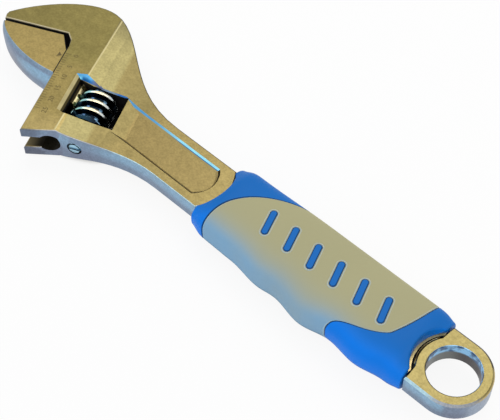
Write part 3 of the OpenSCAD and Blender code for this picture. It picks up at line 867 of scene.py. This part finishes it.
# the web, rail and rack come from the CAD jaw, cut off just behind the guide face
rail = cleanCopy("movable_jaw")
cutPlace = headPoint(slidingJaw["guideGap"] - slidingJaw["railOverlap"], 0)
bmesh.ops.bisect_plane(rail, geom=list(rail.verts) + list(rail.edges) + list(rail.faces), dist=1e-7,
                       plane_co=cutPlace, plane_no=headU, clear_outer=True)
bmesh.ops.holes_fill(rail, edges=[e for e in rail.edges if e.is_boundary])
for face in rail.faces:
    face.material_index = 1
railMesh = meshOf("rail", rail)
work.from_mesh(railMesh)
bpy.data.meshes.remove(railMesh)
jawPiece = meshPiece("slidingJaw", work, (jawFinish, railFinish), "jaw", slidingJaw["sharp"])
addWeightedNormals(jawPiece)
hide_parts("movable_jaw")
print("jaw done")

thumbWorm = {
    "middle": 11.9, "length": 13.8, "pitch": 3.7, "radius": 6.6, "depth": 1.95, "crest": 1.0, "crown": 0.2,
    "lean": 0.33, "bore": 2.18, "pocket": 3.3, "pocketDepth": 7.0, "chamfer": 0.9, "turnStep": 5.0,
    "crestSteps": 4, "flankSteps": 5, "rootSteps": 11, "darkEnd": 2.5,
    # painted reflections of the crests, and the dark root with its painted shade and two painted reflections
    "crestWarm": (0.780, 0.700, 0.460, 1), "crestCool": (0.360, 0.680, 0.700, 1),
    "crestPale": (0.660, 0.700, 0.680, 1),
    "rootRear": (0.016, 0.026, 0.042, 1), "rootFront": (0.022, 0.060, 0.095, 1),
    "shineRear": (0.340, 0.600, 0.850, 1), "shineFront": (0.330, 0.560, 0.900, 1),
}


# the root is painted very dark, standing in for its shade in the window, and shows two narrow painted
# reflections
def rootTone(place, normal):
    t = thumbWorm
    turned = facing(normal, headU)
    level = ranged(absolute(facing(normal, headW)), 0.45, 0.25)
    rear = times(ranged(turned, -0.58, -0.64), ranged(turned, -0.84, -0.78))
    front = times(ranged(turned, 0.06, 0.12), ranged(turned, 0.36, 0.28))
    colour = mixColours(ranged(turned, -0.5, 0.1), t["rootRear"], t["rootFront"])
    colour = mixColours(times(level, rear), colour, t["shineRear"])
    return mixColours(times(level, front), colour, t["shineFront"])


# the crests take painted reflections, from a cool front over warm to pale at the rear
def crestTone(place, normal):
    t = thumbWorm
    turned = facing(normal, headU)
    colour = mixColours(ranged(turned, -0.1, 0.35), t["crestWarm"], t["crestCool"])
    return mixColours(ranged(turned, -0.35, -0.7), colour, t["crestPale"])


# radius of the thread at an axial distance from the middle of its crest
def threadRadius(a):
    t = thumbWorm
    if a <= t["crest"] / 2:
        return t["radius"] - t["crown"] * (2 * a / t["crest"]) ** 2
    return max(t["radius"] - t["depth"], t["radius"] - t["crown"] - (a - t["crest"] / 2) / t["lean"])


# one turn of the thread as angles in degrees and radii, the crest first
def wormProfile():
    t = thumbWorm
    rootHalf = t["crest"] / 2 + t["lean"] * (t["depth"] - t["crown"])
    crestAngle, rootAngle = 180 * t["crest"] / t["pitch"], 360 * rootHalf / t["pitch"]
    crestSteps, flankSteps, rootSteps = t["crestSteps"], t["flankSteps"], t["rootSteps"]
    angles = [crestAngle * i / crestSteps for i in range(-crestSteps, crestSteps + 1)]
    flank = [crestAngle + (rootAngle - crestAngle) * i / flankSteps for i in range(1, flankSteps + 1)]
    angles += flank + [rootAngle + (360 - 2 * rootAngle) * i / rootSteps for i in range(1, rootSteps)]
    angles += [360 - a for a in reversed(flank)]
    return [(a, threadRadius((360 - a if a > 180 else abs(a)) * t["pitch"] / 360)) for a in angles]


# ring of the worm at a height above its lower end, turned by a spin in degrees
def wormRing(height, spin, corners):
    w = thumbWorm["middle"] - thumbWorm["length"] / 2 + height
    turned = [(math.radians(a + spin), r) for a, r in corners]
    return [(head["wormAxis"] + r * math.cos(b), w, -r * math.sin(b)) for b, r in turned]


profile, length = wormProfile(), thumbWorm["length"]
turnAll = 360 * length / thumbWorm["pitch"]
ringCount = round(turnAll / thumbWorm["turnStep"])
rings = []
for i in range(ringCount + 1):
    height = length * i / ringCount
    limit = thumbWorm["radius"] - max(0.0, thumbWorm["chamfer"] - min(height, length - height))
    corners = [(a, min(r, limit)) for a, r in profile]
    rings.append(wormRing(height, -turnAll / 2 + turnAll * i / ringCount, corners))
bore, pocket, pocketDepth = thumbWorm["bore"], thumbWorm["pocket"], thumbWorm["pocketDepth"]
for height, radius in ((length, bore), (pocketDepth, bore), (pocketDepth, pocket), (0, pocket)):
    rings.append(wormRing(height, turnAll / 2 if height else -turnAll / 2, [(a, radius) for a, _ in profile]))
work = bmesh.new()
# the crests take the painted reflections; the rest, and the crests of the last turn near the end, take the
# dark root with its painted shade
for i, face in enumerate(addShell(work, pointsOf(rings), stitch(len(rings), len(profile), joined=True))):
    ring, column = divmod(i, len(profile))
    fromEnd = length * (1 - ring / ringCount)
    face.material_index = 0 if column < 2 * thumbWorm["crestSteps"] and fromEnd > thumbWorm["darkEnd"] else 1
placeOnHead(work)
wormFinishes = (plainSteel("wormCrest", crestTone, 0.2), plainSteel("wormRoot", rootTone, 0.16))
wormPiece = meshPiece("thumbWorm", work, wormFinishes, "worm")
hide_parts("worm")
print("worm done")

wormPin = {
    "radius": 2.1, "edge": 0.80, "edgeSteps": 2, "endLength": 2.8,
    # the rim is painted near black as the shade round the pin's end
    "colour": (0.34, 0.56, 0.70, 1), "rim": (0.006, 0.011, 0.020, 1),
}


# an edge round the pin's end that shows in the end of the head
def isPinRim(edge):
    if len(edge.link_faces) != 2 or edge.calc_face_angle(0) <= math.radians(60):
        return False
    outer = min(fromAxis(v.co, head["wormAxis"]) for v in edge.verts) > wormPin["radius"] - 0.1
    return outer and onHead(edgeMiddle(edge)).y > head["lowEnd"] - wormPin["endLength"]


work = cleanCopy("worm_pin")
pinRim = [e for e in work.edges if isPinRim(e)]
bevelEdges(work, pinRim, wormPin["edge"], 1, wormPin["edgeSteps"], clamp=True)
mergeCorners(work)
# the pin's bevelled rim takes painted shade
pinFinishes = (plainSteel("pinSteel", wormPin["colour"], 0.3),
               plainSteel("pinRim", wormPin["rim"], 0.5, 0.8, 0.0))
pinPiece = meshPiece("wormPin", work, pinFinishes, "handle")
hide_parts("worm_pin")
springMesh = frame["nodes"]["worm_spring"].data
springMesh.materials.clear()
springMesh.materials.append(plainSteel("springSteel", (0.5, 0.5, 0.5, 1), 0.3))
print("pin and spring done")

grip = {
    "front": 93.1, "rear": 9.3, "rearHollow": 12.8, "frontHollow": 12.5, "horn": 8.8, "frontStation": 88,
    "plainWidth": 14.1, "plainSlim": 0.6, "slimFrom": (58, 26), "thickness": 15.0, "square": 3.0,
    "fingers": [(9.3, 13.2), (14.7, 13.1), (24.8, 14.8), (34.6, 13.7), (45.2, 15.7), (56.5, 13.9), (63, 14.6),
                (75, 13.2), (88, 13)],
    "frontNarrow": (0.09, 7), "rearNarrow": (0.05, 6), "frontThin": (0.3, 8), "rearThin": (0.22, 7),
    "skin": 1.7, "skinFront": 86.9, "skinRear": 15.8, "frontSweep": 22.5, "rearSweep": 9.0,
    "skinGap": 0.05, "skinFloat": 0.01,
    "lobe": 11.5, "lobeFrom": 0.30, "lobeWidth": 0.62,
    "endRound": 0.55, "seam": 0.36, "tang": (9.1, 3.0),
    "columns": 160, "endSteps": 5, "seamSteps": 4, "sleeveSteps": 22, "bedSteps": 24, "skinSteps": 90,
    "sharp": 40,
}


def fingerWidth(x):
    stations = grip["fingers"]
    if x < stations[0][0]:
        return stations[0][1]
    for (x0, w0), (x1, w1) in zip(stations, stations[1:]):
        if x < x1:
            return w0 + (w1 - w0) * smoothStep((x - x0) / (x1 - x0))
    return stations[-1][1]


def plainWidth(x):
    start, reach = grip["slimFrom"]
    return grip["plainWidth"] - grip["plainSlim"] * smoothStep((x - start) / reach)


def sideWidth(side, x):
    return fingerWidth(x) if side > 0 else plainWidth(x)


# share of a size that is lost near an end, by the distance to that end
def lost(end, distance):
    return end[0] * (1 - smoothStep(distance / end[1])) ** 2


def endScale(x):
    return 1 - lost(grip["frontNarrow"], grip["front"] - x) - lost(grip["rearNarrow"], x - grip["rear"])


def endThin(x):
    return 1 - lost(grip["frontThin"], grip["front"] - x) - lost(grip["rearThin"], x - grip["rear"])


# share of the half width or half thickness, from the cosine or sine of the way round the section
def squared(value):
    return math.copysign(abs(value) ** (2 / grip["square"]), value) if abs(value) > 1e-9 else 0.0


turns = [2 * math.pi * j / grip["columns"] for j in range(grip["columns"])]
shares = [(squared(math.cos(a)), squared(math.sin(a))) for a in turns]


def gripPoint(x, share, depth):
    v, lift = share
    width, height = sideWidth(v, x) * endScale(x), grip["thickness"] / 2 * endThin(x)
    return (x, v * (width - depth), lift * (height - depth))


def gripTop(x, y):
    v = y / (sideWidth(y, x) * endScale(x))
    return grip["thickness"] / 2 * endThin(x) * (1 - abs(v) ** grip["square"]) ** (1 / grip["square"])


def frontAt(y):
    r, y = grip["frontHollow"], min(abs(y), grip["horn"])
    return grip["front"] + math.sqrt(r * r - grip["horn"] ** 2) - math.sqrt(r * r - y * y)


def rearAt(y):
    y = min(grip["rearHollow"], abs(y))
    return max(grip["rear"], math.sqrt(grip["rearHollow"] ** 2 - y * y))


def rearEdge(v):
    return rearAt(v * (1 - grip["rearNarrow"][0]) * sideWidth(v, grip["rear"]))


def frontEdge(v):
    return frontAt(v * (1 - grip["frontNarrow"][0]) * sideWidth(v, grip["frontStation"]))


def skinStart(v):
    lobe = grip["lobe"] * smoothStep((v - grip["lobeFrom"]) / grip["lobeWidth"])
    return grip["skinRear"] + grip["rearSweep"] * ((1 + v) / 2) ** 2 + lobe


def skinEnd(v):
    return grip["skinFront"] - grip["frontSweep"] * ((1 - v) / 2) ** 3


def section(xAt, depth):
    return [gripPoint(xAt(v), (v, lift), depth) for v, lift in shares]


# ring on the wall of the opening that the tang passes through
def opening(xAt):
    half, thick = grip["tang"]
    ring = []
    for v, lift in shares:
        k = max(abs(v), abs(lift))
        y, z = v / k * half, lift / k * thick
        ring.append((xAt(y), y, z))
    return ring


def roundedEnd(xAt, inward, radius, steps):
    rings = []
    for i in range(steps + 1):
        a = math.pi / 2 * i / steps
        step = inward * radius * (1 - math.cos(a))
        rings.append(section(lambda v: xAt(v) + step, radius * (1 - math.sin(a))))
    return rings


def between(first, last, steps, depth=0.0):
    return [section(lambda v: first(v) + (last(v) - first(v)) * i / steps, depth) for i in range(1, steps)]


seam, endRound, seamSteps = grip["seam"], grip["endRound"], grip["seamSteps"]
rings = [opening(rearAt)]
rings += roundedEnd(rearEdge, 1, endRound, grip["endSteps"])
rings += between(lambda v: rearEdge(v) + endRound, lambda v: skinStart(v) - seam, grip["sleeveSteps"])
seamRings = [len(rings) + i for i in range(seamSteps + 1)]
rings += roundedEnd(skinStart, -1, seam, seamSteps)[::-1]
rings.append(section(skinStart, grip["skin"]))
rings += between(skinStart, skinEnd, grip["bedSteps"], grip["skin"])
rings.append(section(skinEnd, grip["skin"]))
seamRings += [len(rings) - 1 + i for i in range(seamSteps + 1)]
rings += roundedEnd(skinEnd, 1, seam, seamSteps)
rings += between(lambda v: skinEnd(v) + seam, lambda v: frontEdge(v) - endRound, grip["sleeveSteps"])
rings += roundedEnd(frontEdge, -1, endRound, grip["endSteps"])[::-1]
rings.append(opening(frontAt))
work = bmesh.new()
made = addShell(work, pointsOf(rings), stitch(len(rings), grip["columns"], joined=True))
# the seam's rounded rings take the dark blue of painted shade
for i, face in enumerate(made):
    face.material_index = 1 if i // grip["columns"] in seamRings else 0

gripBars = {
    "count": 6, "length": 9.6, "width": 2.5, "step": 9.05, "start": 25.6, "slant": math.radians(20),
    "rise": 0.25, "foot": 2.2, "round": 0.42, "roundSteps": 5, "topInset": 0.75, "around": 36,
    "underBox": 0.001,
    "gap": 0.06, "lip": 0.42, "lipRise": 0.12, "lipSteps": 6, "lipSink": 0.01, "lipFoot": 0.4,
}


# stadium outline of a bar, grown by a margin
def barOutline(index, margin):
    reach, r = gripBars["length"] / 2 - gripBars["width"] / 2, gripBars["width"] / 2 + margin
    centre = gripBars["start"] + index * gripBars["step"]
    c, s = math.cos(gripBars["slant"]), math.sin(gripBars["slant"])
    outline = []
    for i in range(gripBars["around"]):
        a = 2 * math.pi * (i + 0.5) / gripBars["around"]
        x, y = r * math.cos(a), r * math.sin(a) + math.copysign(reach, math.sin(a))
        outline.append((centre + x * c - y * s, x * s + y * c))
    return outline


# ring of a bar at a rise over the grip's surface, kept just under the top of the CAD's box
def barRing(index, margin, rise):
    top = cadHigh.z * 1000 - gripBars["underBox"]
    return [(x, y, min(gripTop(x, y) + rise, top)) for x, y in barOutline(index, margin)]


for index in range(gripBars["count"]):
    r, steps = gripBars["round"], gripBars["roundSteps"]
    rings = [barRing(index, 0, -gripBars["foot"])]
    for i in range(steps + 1):
        a = math.pi / 2 * i / steps
        rings.append(barRing(index, -r * (1 - math.cos(a)), gripBars["rise"] - r + r * math.sin(a)))
    rings.append(barRing(index, -gripBars["topInset"], gripBars["rise"]))
    made = addShell(work, pointsOf(rings), capped(len(rings), gripBars["around"]))
    # the foot and rounded edge of each bar take the same painted shade
    for face in made[:(steps + 1) * gripBars["around"]]:
        face.material_index = 1
bmesh.ops.recalc_face_normals(work, faces=work.faces)
sleevePiece = meshPiece("gripSleeve", work, (blueFinish, seamShadeFinish), "handle", grip["sharp"])
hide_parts("grip_sleeve")
print("sleeve done")


# the skin leaves a thin gap to the sleeve at both ends
def skinFirst(v):
    return skinStart(v) + grip["skinGap"]


def skinLast(v):
    return skinEnd(v) - grip["skinGap"]


underside = grip["skin"] - grip["skinFloat"]
rings = roundedEnd(skinFirst, 1, seam, seamSteps)
rings += between(lambda v: skinFirst(v) + seam, lambda v: skinLast(v) - seam, grip["skinSteps"])
rimHighlightRings = [start + i for start in (0, len(rings)) for i in range(seamSteps)]
rings += roundedEnd(skinLast, -1, seam, seamSteps)[::-1]
rings.append(section(skinLast, underside))
rings += between(skinLast, skinFirst, grip["bedSteps"], underside)
rings.append(section(skinFirst, underside))
work = bmesh.new()
made = addShell(work, pointsOf(rings), stitch(len(rings), grip["columns"], joined=True))
# the skin's rounded rims take the lighter painted highlight
for i, face in enumerate(made):
    face.material_index = 1 if i // grip["columns"] in rimHighlightRings else 0
# a low lip of the skin round each bar, in the skin's lighter painted highlight
for index in range(gripBars["count"]):
    rings, gap, lip = [], gripBars["gap"], gripBars["lip"]
    for i in range(gripBars["lipSteps"] + 1):
        a = math.pi * i / gripBars["lipSteps"]
        rise = gripBars["lipRise"] * math.sin(a) - gripBars["lipSink"]
        rings.append(barRing(index, gap + lip * (1 - math.cos(a)) / 2, rise))
    rings += [barRing(index, margin, -gripBars["lipFoot"]) for margin in (gap + lip, gap)]
    addShell(work, pointsOf(rings), stitch(len(rings), gripBars["around"], joined=True), 1)
bmesh.ops.recalc_face_normals(work, faces=work.faces)
skinPiece = meshPiece("gripSkin", work, (greyFinish, rimHighlightFinish), "handle", grip["sharp"])
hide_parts("grip_skin")
print("skin done")

scaleMarks = {
    "first": -5.3, "count": 25, "longEvery": 5, "start": -0.5, "short": -1.85, "long": -2.6, "width": 0.17,
    "rise": 0.02, "foot": 0.05,
    "labelU": -4.25, "labelHeight": 1.75, "labelShift": 0.15,
    "letterSize": 2.5, "letterHalf": 0.03, "curveSteps": 3,
}


# thin prism standing on the upper face of the head, from corners in u and w
def addMark(work, corners):
    z = head["thickness"] / 2
    rings = [[(u, w, z + lift) for u, w in corners] for lift in (-scaleMarks["foot"], scaleMarks["rise"])]
    addShell(work, pointsOf(rings), capped(2, len(corners)))


# outline mesh of a short number, its X running towards the fixed jaw and its Y towards the guide face
def addNumber(work, text, u, w):
    curve = bpy.data.curves.new("number", "FONT")
    curve.body = text
    curve.size = scaleMarks["letterSize"]
    curve.align_x = "CENTER"
    curve.extrude = scaleMarks["letterHalf"]
    curve.resolution_u = scaleMarks["curveSteps"]
    made = applied(addObject("number", curve))
    bpy.data.curves.remove(curve)
    z = head["thickness"] / 2 + scaleMarks["rise"] - scaleMarks["letterHalf"]
    for vert in made.vertices:
        x, y, h = vert.co
        vert.co = Vector((u + y - scaleMarks["labelHeight"] / 2, w - x, z + h)) / 1000
    work.from_mesh(made)
    bpy.data.meshes.remove(made)


work = bmesh.new()
start, half = scaleMarks["start"], scaleMarks["width"] / 2
for k in range(scaleMarks["count"] + 1):
    w, isLong = scaleMarks["first"] + k, k % scaleMarks["longEvery"] == 0
    end = scaleMarks["long"] if isLong else scaleMarks["short"]
    addMark(work, [(start, w - half), (start, w + half), (end, w + half), (end, w - half)])
    if isLong:
        addNumber(work, str(k), scaleMarks["labelU"], w + scaleMarks["labelShift"])
placeOnHead(work)
meshPiece("scaleMarks", work, (markFinish,), "handle")

indexMark = {"corners": [(0.42, -3.95), (2.0, -3.15), (1.75, -5.35)]}
work = bmesh.new()
addMark(work, indexMark["corners"])
placeOnHead(work)
meshPiece("indexMark", work, (markFinish,), "jaw")
print("marks done")
